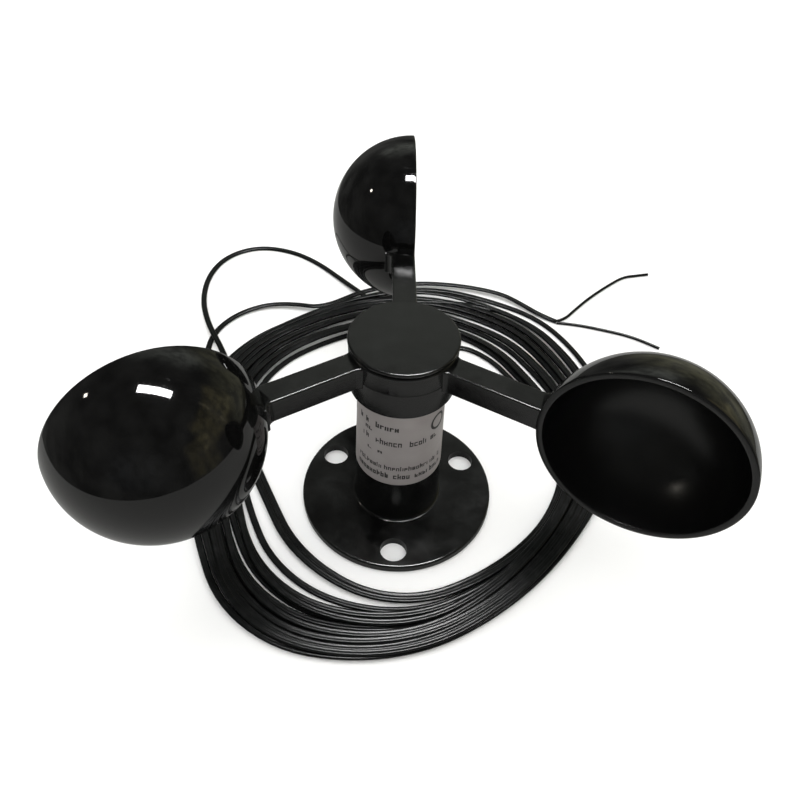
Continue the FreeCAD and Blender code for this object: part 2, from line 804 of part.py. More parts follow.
def tube(name, route, radius, report=False):
    """A round tube along straight runs joined by tangent arcs."""
    points = [Vec(*p) for p in route]
    share = 0.45  # how much of the shorter run beside a corner its arc takes up
    edges = []
    radii = []
    start = points[0]
    for before, corner, after in zip(points, points[1:], points[2:]):
        inward = (corner - before).normalize()
        onward = (after - corner).normalize()
        half = inward.getAngle(onward) / 2
        shorter = min((corner - before).Length, (after - corner).Length)
        reach = share * shorter
        bend = reach / math.tan(half)
        radii.append(bend)
        first = corner - inward * reach
        last = corner + onward * reach
        middle = corner + (onward - inward).normalize() * (bend / math.cos(half) - bend)
        edges.append(Part.LineSegment(start, first).toShape())
        edges.append(Part.Arc(first, middle, last).toShape())
        start = last
    edges.append(Part.LineSegment(start, points[-1]).toShape())
    path = Part.Wire(edges)
    heading = points[1] - points[0]
    section = Part.Wire(Part.Circle(points[0], heading, radius).toShape())
    solid = path.makePipeShell([section], True, False)
    ideal = math.pi * radius ** 2 * path.Length
    if abs(solid.Volume - ideal) > 0.01 * ideal:
        raise RuntimeError(f"{name} is {solid.Volume:.1f} mm3, not {ideal:.1f}")
    if report:
        listed = ", ".join(f"{r:.0f}" for r in radii)
        print(f"{name}: {path.Length:.1f} mm long, radii {listed}")
    obj = doc.addObject("Part::Feature", name)
    obj.Shape = solid
    return obj


def make_lead():
    lead = sizes["lead_width"] / 2
    core = sizes["core_width"] / 2
    runs = {
        "lead_run": (lead_route, lead),
        "lead_big_loop": (big_loop_route, lead),
        "lead_small_loop": (small_loop_route, lead),
        "lead_tail": (tail_route, lead),
        "core_upper": (upper_core_route, core),
        "core_lower": (lower_core_route, core),
    }
    for name, (route, radius) in runs.items():
        node(name, tube(name, route, radius, report=True))


def ring_face(distances):
    """A smooth closed outline from its distances to the coil's centre, as a face."""
    step = 2 * math.pi / len(distances)
    points = [
        Vec(coil_centre[0] + d * math.cos(i * step), coil_centre[1] + d * math.sin(i * step), 0)
        for i, d in enumerate(distances)
    ]
    curve = Part.BSplineCurve()
    curve.interpolate(points, PeriodicFlag=True)
    return Part.Face(Part.Wire(curve.toShape()))


def make_coil():
    """The outer shape of the loose coil that lies round the flange."""
    flat = ring_face(coil_outside).cut(ring_face(coil_inside))
    solid = flat.extrude(UP * sizes["coil_height"])
    top = [e for e in solid.Edges if e.BoundBox.ZMin > sizes["coil_height"] / 2]
    obj = doc.addObject("Part::Feature", "lead_coil")
    obj.Shape = solid.makeFillet(sizes["coil_edge"], top)
    node("lead_coil", obj)


make_base_post()
make_bottom_cover()
make_lead_grommet()
make_board()
make_inner_leads()
make_bearing("lower_bearing", "bearing_low")
make_bearing("upper_bearing", "bearing_high")
make_spacers()
make_shaft()
make_magnets()
make_label()
make_hub()
make_hub_cap()
make_hub_nut()
for number in range(3):
    turn = 90 + 120 * number + rotor_rest
    make_arm(f"arm_{number + 1}", turn)
    make_cup(f"cup_{number + 1}", turn)
make_lead()
make_coil()
doc.recompute()

failed = [o.Name for o in doc.Objects if {"Invalid", "Error"} & set(o.State)]
bad = [n for n, o in nodes.items() if o.Shape.isNull() or not o.Shape.isValid()]
if failed or bad:
    raise RuntimeError(f"failed objects {failed}, bad shapes {bad}")

os.makedirs("parts", exist_ok=True)
for name, obj in nodes.items():
    obj.Shape.exportStep(f"parts/{name}.step")
    box = obj.Shape.BoundBox
    print(f"{name}: {len(obj.Shape.Solids)} solid(s), {obj.Shape.Volume:.1f} mm3, "
          f"z {box.ZMin:.2f} to {box.ZMax:.2f}")
print(len(nodes), "sub-parts written")
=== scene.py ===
import bpy
import bmesh
import json
import math
import random
from mathutils import Matrix, Vector, noise


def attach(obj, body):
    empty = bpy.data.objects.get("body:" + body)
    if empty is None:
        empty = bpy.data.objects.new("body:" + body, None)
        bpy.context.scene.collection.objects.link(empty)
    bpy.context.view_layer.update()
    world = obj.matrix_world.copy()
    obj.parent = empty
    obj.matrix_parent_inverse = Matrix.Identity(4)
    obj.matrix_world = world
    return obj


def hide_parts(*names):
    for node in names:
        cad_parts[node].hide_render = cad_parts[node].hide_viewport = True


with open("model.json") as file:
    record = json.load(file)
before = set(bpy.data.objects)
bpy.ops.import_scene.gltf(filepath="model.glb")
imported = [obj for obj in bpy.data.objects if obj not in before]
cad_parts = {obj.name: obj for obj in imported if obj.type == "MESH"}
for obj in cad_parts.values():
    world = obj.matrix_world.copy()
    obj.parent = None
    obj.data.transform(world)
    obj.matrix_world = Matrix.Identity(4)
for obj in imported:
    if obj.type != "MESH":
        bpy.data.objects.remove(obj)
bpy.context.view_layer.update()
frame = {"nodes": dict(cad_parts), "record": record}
mm = 0.001


def linear(hexColour):        # sRGB hex to the linear colour that the shaders take
    parts = [int(hexColour[i:i + 2], 16) / 255 for i in (1, 3, 5)]
    return [p / 12.92 if p <= 0.04045 else ((p + 0.055) / 1.055) ** 2.4 for p in parts] + [1.0]


def addNode(tree, kind, sockets=None, **settings):
    made = tree.nodes.new(kind)
    for name, value in settings.items():
        setattr(made, name, value)
    for name, value in (sockets or {}).items():
        if isinstance(value, bpy.types.NodeSocket):
            tree.links.new(value, made.inputs[name])
        else:
            made.inputs[name].default_value = value
    return made


def ease(x):
    x = min(max(x, 0.0), 1.0)
    return x * x * (3 - 2 * x)


def meshPiece(name, verts, faces, body, material):
    mesh = bpy.data.meshes.new(name)
    mesh.from_pydata([tuple(v) for v in verts], [], faces)
    mesh.validate()
    piece = bpy.data.objects.new(name, mesh)
    bpy.context.scene.collection.objects.link(piece)
    mesh.materials.append(material)
    mesh.shade_smooth()
    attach(piece, body)
    return piece


# camera: it looks down at the sensor from the front, a hand's breadth above the cups

camera = {
    "aim": Vector((0, 0, 40)) * mm,      # a point on the rotor's axis
    "distance": 227.3 * mm,
    "elevation": 46.93,
    "pan": -0.03,
    "tilt": 0.98,
    "roll": 2.94,
    "lens": 33.19,
}


def makeCamera():
    up = math.radians(camera["elevation"])
    away = Vector((0, -math.cos(up), math.sin(up)))
    turn = Matrix.Rotation(math.pi / 2 - up, 3, "X")      # straight down, then raised to the elevation
    turn = turn @ Matrix.Rotation(math.radians(camera["roll"]), 3, "Z")
    turn = turn @ Matrix.Rotation(-math.radians(camera["pan"]), 3, "Y")
    turn = turn @ Matrix.Rotation(math.radians(camera["tilt"]), 3, "X")
    lens = bpy.data.cameras.new("camera")
    lens.lens = camera["lens"]
    lens.clip_start = 0.01
    seen = bpy.data.objects.new("camera", lens)
    bpy.context.scene.collection.objects.link(seen)
    seen.location = camera["aim"] + away * camera["distance"]
    seen.rotation_euler = turn.to_euler()
    bpy.context.scene.camera = seen


makeCamera()
bpy.context.scene.view_settings.view_transform = "Standard"


# stage: a pale table under soft boxes, with one bright strip overhead and a dim room for the gloss to mirror

studio = {
    "floorReach": 1.7,
    "floor": "#fafaf9",
    "cardReach": 0.28,        # what a polished surface sees of the table
    "card": "#979795",
    "behind": 1.2,            # brightness of the pale room behind the object
    "room": "#f2f2ec",
    "roomLevel": (0.05, 0.17),        # the mirrored room's own brightness, from dark to light
    "clutter": 2.6,           # scale of the room's large dark and light shapes
    "mottle": 9.0,            # scale of the unevenness inside each patch
    "unevenness": (0.45, 1.35),
}

# name, place in metres, size, power, colour, and whether it is only there to be mirrored in gloss;
# the others light the object and are never mirrored
lamps = [
    ("stripLamp", (0.14, 0.03, 1.30), (0.68, 0.17), 36.0, "#ffffff", True),
    ("sideLamp", (-1.17, 0.07, 0.90), (0.07, 0.07), 0.6, "#fff8ea", True),
    ("topBox", (0.0, 0.0, 2.2), (2.6, 2.6), 56.0, "#ffffff", False),
    ("leftBox", (-1.8, 0.0, 0.95), (1.6, 1.6), 12.5, "#ffffff", False),
    ("rightBox", (1.8, 0.0, 0.95), (1.6, 1.6), 12.5, "#ffffff", False),
    ("frontBox", (0.0, -1.8, 0.95), (1.6, 1.6), 12.5, "#ffffff", False),
    ("backBox", (0.0, 1.8, 0.95), (1.6, 1.6), 12.5, "#ffffff", False),
]

# soft patches of light in the room: degrees round from and to, degrees up from and to,
# softness, brightness, colour
roomPatches = [
    ((60, 120), (24, 47), 10, 0.46, "#e4eadf"),
    ((-24, 34), (7, 37), 4, 0.5, "#bdb07c"),
    ((-42, -14), (-14, 22), 4, 0.32, "#bdb07c"),
    ((8, 11), (7, 40), 1.5, 0.35, "#d9cfae"),
    ((20, 78), (-14, 24), 12, 0.26, "#d6d4a6"),
    ((-118, -66), (-6, 26), 14, 0.12, "#c9d0d6"),
]


def makeRoom(world):
    world.use_nodes = True
    tree = world.node_tree
    tree.nodes.clear()

    def band(value, low, high, soft):
        rise = addNode(tree, "ShaderNodeMapRange", {"Value": value, "From Min": math.radians(low - soft),
                       "From Max": math.radians(low + soft)}, interpolation_type="SMOOTHSTEP")
        fall = addNode(tree, "ShaderNodeMapRange", {"Value": value, "From Min": math.radians(high + soft),
                       "From Max": math.radians(high - soft)}, interpolation_type="SMOOTHSTEP")
        return addNode(tree, "ShaderNodeMath", {0: rise.outputs[0], 1: fall.outputs[0]}, operation="MULTIPLY")

    way = addNode(tree, "ShaderNodeTexCoord").outputs["Generated"]
    parts = addNode(tree, "ShaderNodeSeparateXYZ", {0: way}).outputs
    turn = addNode(tree, "ShaderNodeMath", {0: parts[1], 1: parts[0]}, operation="ARCTAN2").outputs[0]
    rise = addNode(tree, "ShaderNodeMath", {0: parts[2]}, operation="ARCSINE").outputs[0]
    clutter = addNode(tree, "ShaderNodeTexNoise", {"Vector": way, "Scale": studio["clutter"], "Detail": 2.0})
    dark, light = studio["roomLevel"]
    level = addNode(tree, "ShaderNodeMapRange", {"Value": clutter.outputs[0], "From Min": 0.35,
                    "From Max": 0.7, "To Min": dark, "To Max": light})
    mottle = addNode(tree, "ShaderNodeTexNoise", {"Vector": way, "Scale": studio["mottle"], "Detail": 2.0})
    least, most = studio["unevenness"]
    uneven = addNode(tree, "ShaderNodeMapRange", {"Value": mottle.outputs[0], "From Min": 0.36,
                     "From Max": 0.64, "To Min": least, "To Max": most})
    tint = linear(studio["room"])
    room = addNode(tree, "ShaderNodeBackground", {"Color": tint, "Strength": level.outputs[0]})
    shader = room.outputs[0]
    for (left, right), (low, high), soft, bright, tint in roomPatches:
        inside = addNode(tree, "ShaderNodeMath", {0: band(turn, left, right, soft).outputs[0],
                         1: band(rise, low, high, soft).outputs[0]}, operation="MULTIPLY")
        evenly = addNode(tree, "ShaderNodeMath", {0: inside.outputs[0], 1: bright}, operation="MULTIPLY")
        power = addNode(tree, "ShaderNodeMath", {0: evenly.outputs[0], 1: uneven.outputs[0]},
                        operation="MULTIPLY")
        patch = addNode(tree, "ShaderNodeBackground", {"Color": linear(tint), "Strength": power.outputs[0]})
        shader = addNode(tree, "ShaderNodeAddShader", {0: shader, 1: patch.outputs[0]}).outputs[0]
    pale = addNode(tree, "ShaderNodeBackground", {"Strength": studio["behind"]})
    seen = addNode(tree, "ShaderNodeLightPath").outputs["Is Camera Ray"]
    both = addNode(tree, "ShaderNodeMixShader", {0: seen, 1: shader, 2: pale.outputs[0]})
    addNode(tree, "ShaderNodeOutputWorld", {"Surface": both.outputs[0]})


def stageDisc(name, reach, height, hexColour):
    material = bpy.data.materials.new(name)
    material.use_nodes = True
    shader = material.node_tree.nodes["Principled BSDF"]
    shader.inputs["Base Color"].default_value = linear(hexColour)
    shader.inputs["Roughness"].default_value = 0.9
    shader.inputs["Specular IOR Level"].default_value = 0.2
    shape = bmesh.new()
    bmesh.ops.create_circle(shape, cap_ends=True, segments=96, radius=reach,
                            matrix=Matrix.Translation((0, 0, height)))
    mesh = bpy.data.meshes.new(name)
    shape.to_mesh(mesh)
    shape.free()
    mesh.materials.append(material)
    disc = bpy.data.objects.new(name, mesh)
    bpy.context.scene.collection.objects.link(disc)
    return disc


def makeStage():
    world = bpy.data.worlds.new("room")
    bpy.context.scene.world = world
    makeRoom(world)
    floor = stageDisc("floor", studio["floorReach"], 0.0, studio["floor"])
    floor.visible_glossy = False
    card = stageDisc("glossCard", studio["cardReach"], 0.05 * mm, studio["card"])
    card.visible_camera = card.visible_diffuse = card.visible_shadow = card.visible_transmission = False
    for name, place, size, power, tint, mirrored in lamps:
        data = bpy.data.lights.new(name, "AREA")
        data.shape = "RECTANGLE"
        data.size, data.size_y = size
        data.energy = power
        data.color = linear(tint)[:3]
        lamp = bpy.data.objects.new(name, data)
        bpy.context.scene.collection.objects.link(lamp)
        back = (Vector(place) - camera["aim"]).normalized()
        side = Vector((0, 1, 0)).cross(back).normalized() if abs(back.y) < 0.9 else Vector((1, 0, 0))
        up = back.cross(side)
        lamp.matrix_world = Matrix.Translation(place) @ Matrix((side, up, back)).transposed().to_4x4()
        lamp.visible_camera = False
        lamp.visible_glossy = mirrored
        lamp.visible_diffuse = not mirrored


makeStage()


# the finishes

def newMaterial(name):        # an empty material: its tree, its shader and the object's own coordinates
    material = bpy.data.materials.new(name)
    material.use_nodes = True
    tree = material.node_tree
    coords = addNode(tree, "ShaderNodeTexCoord").outputs["Object"]
    return material, tree, tree.nodes["Principled BSDF"], coords


def blendColours(tree, share, first, second):
    mix = addNode(tree, "ShaderNodeMix", {0: share, 6: linear(first), 7: linear(second)}, data_type="RGBA")
    return mix.outputs[2]


def polishedAbs():        # ABS from a polished mould: near black, mirror gloss, faint ripples and scuffs
    look = {"deep": "#080808", "worn": "#1b1b1a", "ripple": 7 * mm, "scuff": 0.35 * mm, "patch": 16 * mm,
            "gloss": 0.045, "scuffed": 0.3, "insideSoftness": 0.24}
    material, tree, shader, coords = newMaterial("polished black ABS")
    ripple = addNode(tree, "ShaderNodeTexNoise", {"Vector": coords, "Scale": 1 / look["ripple"],
                     "Detail": 1.0})
    along = addNode(tree, "ShaderNodeMapping", {"Vector": coords, "Rotation": (0.3, 0.5, 0.9),
                    "Scale": (0.04, 1, 0.3)})
    scuff = addNode(tree, "ShaderNodeTexNoise", {"Vector": along.outputs[0], "Scale": 1 / look["scuff"],
                    "Detail": 2.0})
    patch = addNode(tree, "ShaderNodeTexNoise", {"Vector": coords, "Scale": 1 / look["patch"], "Detail": 3.0})
    lines = addNode(tree, "ShaderNodeMapRange", {"Value": scuff.outputs[0], "From Min": 0.66,
                    "From Max": 0.76})
    where = addNode(tree, "ShaderNodeMapRange", {"Value": patch.outputs[0], "From Min": 0.55,
                    "From Max": 0.72})
    marks = addNode(tree, "ShaderNodeMath", {0: lines.outputs[0], 1: where.outputs[0]}, operation="MULTIPLY")
    tone = blendColours(tree, marks.outputs[0], look["deep"], look["worn"])
    tree.links.new(tone, shader.inputs["Base Color"])
    rough = addNode(tree, "ShaderNodeMapRange", {"Value": marks.outputs[0], "To Min": look["gloss"],
                    "To Max": look["scuffed"]})
    inside = addNode(tree, "ShaderNodeAttribute", attribute_name="inside")        # less polished there
    softer = addNode(tree, "ShaderNodeMath", {0: inside.outputs["Fac"], 1: look["insideSoftness"],
                     2: rough.outputs[0]}, operation="MULTIPLY_ADD")
    tree.links.new(softer.outputs[0], shader.inputs["Roughness"])
    bump = addNode(tree, "ShaderNodeBump", {"Height": ripple.outputs[0], "Strength": 0.05,
                   "Distance": 0.5 * mm})
    tree.links.new(bump.outputs[0], shader.inputs["Normal"])
    shader.inputs["IOR"].default_value = 1.52
    return material


def satinAbs():        # ABS from a plainer mould: black, its shine broken up by shallow sinks and grain
    look = {"deep": "#060606", "pale": "#0e0f0e", "cloud": 9 * mm, "grain": 0.4 * mm}
    material, tree, shader, coords = newMaterial("satin black ABS")
    cloud = addNode(tree, "ShaderNodeTexNoise", {"Vector": coords, "Scale": 1 / look["cloud"], "Detail": 4.0,
                    "Roughness": 0.6})
    grain = addNode(tree, "ShaderNodeTexNoise", {"Vector": coords, "Scale": 1 / look["grain"], "Detail": 2.0})
    share = addNode(tree, "ShaderNodeMapRange", {"Value": cloud.outputs[0], "From Min": 0.35,
                    "From Max": 0.68})
    tone = blendColours(tree, share.outputs[0], look["deep"], look["pale"])
    tree.links.new(tone, shader.inputs["Base Color"])
    rough = addNode(tree, "ShaderNodeMapRange", {"Value": cloud.outputs[0], "From Min": 0.3, "From Max": 0.7,
                    "To Min": 0.1, "To Max": 0.25})
    tree.links.new(rough.outputs[0], shader.inputs["Roughness"])
    sink = addNode(tree, "ShaderNodeBump", {"Height": cloud.outputs[0], "Strength": 0.16,
                   "Distance": 0.5 * mm})
    bump = addNode(tree, "ShaderNodeBump", {"Height": grain.outputs[0], "Strength": 0.04,
                   "Distance": 0.05 * mm,
                   "Normal": sink.outputs[0]})
    tree.links.new(bump.outputs[0], shader.inputs["Normal"])
    shader.inputs["IOR"].default_value = 1.52
    return material


def softPvc():        # extruded plasticised PVC: deep black, a low soft shine and faint handling marks
    look = {"deep": "#050606", "chalk": "#101111", "mark": 3 * mm, "skin": 0.5 * mm}
    material, tree, shader, coords = newMaterial("black flexible PVC")
    mark = addNode(tree, "ShaderNodeTexNoise", {"Vector": coords, "Scale": 1 / look["mark"], "Detail": 4.0})
    skin = addNode(tree, "ShaderNodeTexNoise", {"Vector": coords, "Scale": 1 / look["skin"], "Detail": 1.0})
    share = addNode(tree, "ShaderNodeMapRange", {"Value": mark.outputs[0], "From Min": 0.5, "From Max": 0.75})
    tone = blendColours(tree, share.outputs[0], look["deep"], look["chalk"])
    tree.links.new(tone, shader.inputs["Base Color"])
    rough = addNode(tree, "ShaderNodeMapRange", {"Value": mark.outputs[0], "To Min": 0.24, "To Max": 0.36})
    tree.links.new(rough.outputs[0], shader.inputs["Roughness"])
    bump = addNode(tree, "ShaderNodeBump", {"Height": skin.outputs[0], "Strength": 0.03,
                   "Distance": 0.05 * mm})
    tree.links.new(bump.outputs[0], shader.inputs["Normal"])
    shader.inputs["Specular IOR Level"].default_value = 0.24
    return material


def mouldedRubber():        # moulded nitrile rubber: matt, slightly grey, with a dusty bloom
    look = {"deep": "#0e0e0e", "bloom": "#232322", "cloud": 2 * mm}
    material, tree, shader, coords = newMaterial("black nitrile rubber")
    cloud = addNode(tree, "ShaderNodeTexNoise", {"Vector": coords, "Scale": 1 / look["cloud"], "Detail": 5.0})
    tone = blendColours(tree, cloud.outputs[0], look["deep"], look["bloom"])
    tree.links.new(tone, shader.inputs["Base Color"])
    bump = addNode(tree, "ShaderNodeBump", {"Height": cloud.outputs[0], "Strength": 0.2,
                   "Distance": 0.1 * mm})
    tree.links.new(bump.outputs[0], shader.inputs["Normal"])
    shader.inputs["Roughness"].default_value = 0.68
    return material


def labelFoil():        # silvered polyester film: a grey half-shine with a fine drawn grain round the post
    look = {"silver": "#b4b0ae", "warm": "#9d9593", "cloud": 9 * mm, "grain": 0.25 * mm}
    material, tree, shader, coords = newMaterial("silver polyester film")
    cloud = addNode(tree, "ShaderNodeTexNoise", {"Vector": coords, "Scale": 1 / look["cloud"], "Detail": 2.0})
    drawn = addNode(tree, "ShaderNodeMapping", {"Vector": coords, "Scale": (0.05, 0.05, 1)})
    grain = addNode(tree, "ShaderNodeTexNoise", {"Vector": drawn.outputs[0], "Scale": 1 / look["grain"],
                    "Detail": 2.0})
    tone = blendColours(tree, cloud.outputs[0], look["silver"], look["warm"])
    tree.links.new(tone, shader.inputs["Base Color"])
    rough = addNode(tree, "ShaderNodeMapRange", {"Value": grain.outputs[0], "To Min": 0.3, "To Max": 0.5})
    tree.links.new(rough.outputs[0], shader.inputs["Roughness"])
    bump = addNode(tree, "ShaderNodeBump", {"Height": grain.outputs[0], "Strength": 0.08,
                   "Distance": 0.05 * mm})
    tree.links.new(bump.outputs[0], shader.inputs["Normal"])
    shader.inputs["Metallic"].default_value = 0.55
    return material


def printedInk():        # screen-printed solvent ink: flat black that breaks up a little at this size
    look = {"solid": "#171616", "thin": "#3b3937", "break": 0.5 * mm}
    material, tree, shader, coords = newMaterial("black printing ink")
    thin = addNode(tree, "ShaderNodeTexNoise", {"Vector": coords, "Scale": 1 / look["break"], "Detail": 2.0})
    share = addNode(tree, "ShaderNodeMapRange", {"Value": thin.outputs[0], "From Min": 0.45, "From Max": 0.7})
    tone = blendColours(tree, share.outputs[0], look["solid"], look["thin"])
    tree.links.new(tone, shader.inputs["Base Color"])
    shader.inputs["Roughness"].default_value = 0.55
    return material


def metal(name, hexColour, roughness, pitch):        # turning or plating marks run round the rotor's axis
    material, tree, shader, coords = newMaterial(name)
    drawn = addNode(tree, "ShaderNodeMapping", {"Vector": coords, "Scale": (0.08, 0.08, 1)})
    lines = addNode(tree, "ShaderNodeTexNoise", {"Vector": drawn.outputs[0], "Scale": 1 / pitch,
                    "Detail": 3.0})
    rough = addNode(tree, "ShaderNodeMapRange", {"Value": lines.outputs[0], "To Min": roughness * 0.6,
                    "To Max": roughness * 1.5})
    tree.links.new(rough.outputs[0], shader.inputs["Roughness"])
    bump = addNode(tree, "ShaderNodeBump", {"Height": lines.outputs[0], "Strength": 0.1,
                   "Distance": 0.03 * mm})
    tree.links.new(bump.outputs[0], shader.inputs["Normal"])
    shader.inputs["Base Color"].default_value = linear(hexColour)
    shader.inputs["Metallic"].default_value = 1.0
    return material


def mouldedPart(name, deep, pale, roughness, cloud):        # plain moulded plastic, slightly cloudy
    material, tree, shader, coords = newMaterial(name)
    noise3d = addNode(tree, "ShaderNodeTexNoise", {"Vector": coords, "Scale": 1 / cloud, "Detail": 4.0})
    tone = blendColours(tree, noise3d.outputs[0], deep, pale)
    tree.links.new(tone, shader.inputs["Base Color"])
    bump = addNode(tree, "ShaderNodeBump", {"Height": noise3d.outputs[0], "Strength": 0.1,
                   "Distance": 0.05 * mm})
    tree.links.new(bump.outputs[0], shader.inputs["Normal"])
    shader.inputs["Roughness"].default_value = roughness
    return material


def boardLaminate():        # solder-masked glass laminate: deep green, paler over its copper tracks
    look = {"mask": "#14492a", "track": "#2c7a45", "pitch": 2.4 * mm}
    material, tree, shader, coords = newMaterial("green FR4 laminate")
    tracks = addNode(tree, "ShaderNodeTexBrick", {"Vector": coords, "Scale": 1.0, "Mortar Size": 0.28 * mm,
                     "Brick Width": look["pitch"] * 2, "Row Height": look["pitch"], "Mortar Smooth": 0.2,
                     "Color1": linear(look["mask"]), "Color2": linear(look["mask"]),
                     "Mortar": linear(look["track"])})
    tree.links.new(tracks.outputs["Color"], shader.inputs["Base Color"])
    shader.inputs["Roughness"].default_value = 0.3
    return material


finishes = {
    "black_plastic": satinAbs(),
    "carrier_plastic": mouldedPart("natural nylon", "#cfcabb", "#e2ddcf", 0.5, 3 * mm),
    "soft_rubber": mouldedRubber(),
    "lead_sheath": softPvc(),
    "label_foil": labelFoil(),
    "steel": metal("turned stainless steel", "#9b9a97", 0.24, 0.3 * mm),
    "magnet": metal("nickel plating", "#b3b0a6", 0.16, 1.2 * mm),
    "board_green": boardLaminate(),
    "chip_black": mouldedPart("black epoxy", "#141416", "#232325", 0.6, 1.5 * mm),
    "terminal_blue": mouldedPart("blue PBT", "#1d4f93", "#2c62a8", 0.4, 2 * mm),
}
glossyAbs = polishedAbs()
ink = printedInk()
leadPvc = finishes["lead_sheath"]
print("materials:", len(bpy.data.materials))


# the lead: a flat two-core lead, wound by hand into fifteen loose turns that lie on the table

lead = {
    "width": 2.3,
    "thickness": 1.2,
    "waist": 0.72,            # how much of the thickness is left between the two cores
    "lying": 0.65,            # height of the centreline over the table
    "layer": 1.25,            # what one strand on top of another adds
    "roll": 9.0,              # most degrees that the lead leans as it lies
    "rollPace": 14,           # how quickly that changes, per metre
    "settles": 0.06,          # metres from the grommet before it leans at all freely
    "seed": 12,
}

coil = {
    "centre": (2, 25),
    "outside": [78, 85.5, 94.5, 91.5, 82, 85, 81, 80, 92, 86, 75, 71.5],       # every 30 degrees from +X
    "inside": [56, 51, 55.5, 58.5, 58.5, 60.5, 57, 52, 59, 65, 60, 58],
    "start": 67,              # the angle at which the lead joins the coil; it winds clockwise from there
    "step": 15,
    "ranks": [0, 1, 1.5, 2, 3, 3.5, 4, 5, 5.5, 6, 6.5, 7, 7.6, 8, 9],        # each turn's place, inside out
    "advance": (295, 350),    # the part of a turn in which it moves out by one place
    "fanAngle": 228,          # where the turns fan out most
    "fanReach": 42,
    "fanGaps": [2.0, 6.0, 4.0, 2.2, 2.7, 2.3, 2.3, 2.3, 2.3, 2.3],
    "usualGap": 2.6,
    "wander": 0.36,           # how uneven the gaps are elsewhere
    "lastPlace": (45, 120, 25),       # the outermost place is used between these angles; how softly it ends
    "tightGap": 3.0,          # strands closer than this lie in two layers
    "climb": (262, 50),       # where a turn starts to climb before a riding turn, and how long it takes
    "descend": (325, 35),     # where a riding turn comes down again
    "joins": 102,             # the angle at which the big loop comes back over the coil
    "joinReach": 77,
    "passing": 1.9,           # height of the last stretch, outside all the turns
    "outer": 1.5,             # how far that stretch lies outside them
}

# some turns ride on top of the others: their places through the turn, in degrees and ranks
riders = {
    2: [(0, 1.5), (40, 1.4), (95, 1.5), (150, 4.5), (235, 2.5), (290, 1.5), (345, 1.7), (360, 2.0)],
    5: [(0, 3.5), (40, 3.4), (90, 2.8), (165, 6.2), (240, 4.2), (290, 3.5), (345, 3.6), (360, 4.0)],
    8: [(0, 5.5), (40, 5.5), (90, 4.8), (165, 7.2), (240, 5.6), (345, 5.6), (360, 6.0)],
    10: [(0, 6.5), (40, 6.5), (90, 6.1), (160, 8.2), (230, 6.6), (345, 6.7), (360, 7.0)],
    12: [(0, 7.6), (80, 7.4), (150, 8.9), (215, 7.9), (275, 6.8)],
}
bigLoopTurn, smallLoopTurn = 12, 14
leaves = {bigLoopTurn: 262, smallLoopTurn: 258}        # how far those turns run before they leave

leadRoute = [(0, 25, 9), (0.4, 32.5, 8.5), (1.4, 42, 3.6), (3.2, 53, 0.65), (7, 64, 0.65),
             (14.5, 72.5, 0.65), (24, 77, 0.65)]
bigLoopRoute = [(-69, 55, 2.1), (-74, 66, 2.3), (-83, 81, 2.2), (-89.5, 99, 0.75), (-90.5, 117, 0.65),
                (-85, 132, 0.65), (-72, 140.5, 0.65), (-56, 138.5, 0.65), (-42, 130, 0.65),
                (-28, 116, 0.8), (-20, 107, 2.0), (-14, 100, 2.1)]
smallLoopRoute = [(-75, 47, 0.65), (-79.5, 60, 0.65), (-80.5, 75.5, 0.65), (-74, 88.5, 0.7), (-62, 96.5, 1.3),
                  (-49, 97.5, 1.9), (-36, 95, 2.3)]
tailRoute = [(42, 112.5, 1.95), (51, 106, 1.6), (59, 99.5, 1.0), (66, 95.8, 0.65)]
upperCoreRoute = [(66.3, 96.3, 0.65), (70, 98, 0.65), (75, 104.5, 0.65), (83, 114, 0.65), (92, 123, 0.65),
                  (101, 131, 0.65), (107.5, 132.8, 0.65), (113.4, 134.3, 0.65)]
lowerCoreRoute = [(66, 95.1, 0.65), (74, 94.6, 0.65), (85, 92, 0.65), (95.5, 89, 0.65), (103, 85, 0.65),
                  (108, 81.6, 0.65)]


def ringRadius(radii, angle):        # a smooth radius round the coil
    place = (angle % 360) * len(radii) / 360
    i = int(place)
    t = place - i
    a, b, c, d = (radii[(i + k) % len(radii)] for k in (-1, 0, 1, 2))
    return b + 0.5 * t * (c - a + t * (2 * a - 5 * b + 4 * c - d + t * (3 * (b - c) + d - a)))


def gapsAt(angle, phases):        # the gaps between neighbouring places at this angle, in mm
    fan = ease(1.5 - 1.5 * abs((angle - coil["fanAngle"] + 180) % 360 - 180) / coil["fanReach"])
    shares = []
    for loose, (first, second) in zip(coil["fanGaps"], phases):
        turned = math.radians(angle)
        uneven = 1 + coil["wander"] * (math.sin(2 * turned + first) + math.sin(3 * turned + second)) / 2
        shares.append(uneven * (1 - fan) + loose / coil["usualGap"] * fan)
    first, last, soft = coil["lastPlace"]
    shares[-1] *= ease((angle % 360 - first) / soft) * ease((last - angle % 360) / soft)
    room = ringRadius(coil["outside"], angle) - ringRadius(coil["inside"], angle) - lead["width"]
    return [share * room / sum(shares) for share in shares]


def aroundCoil(radius, turned, height):
    x, y = coil["centre"]
    return (x + radius * math.cos(turned), y + radius * math.sin(turned), height)


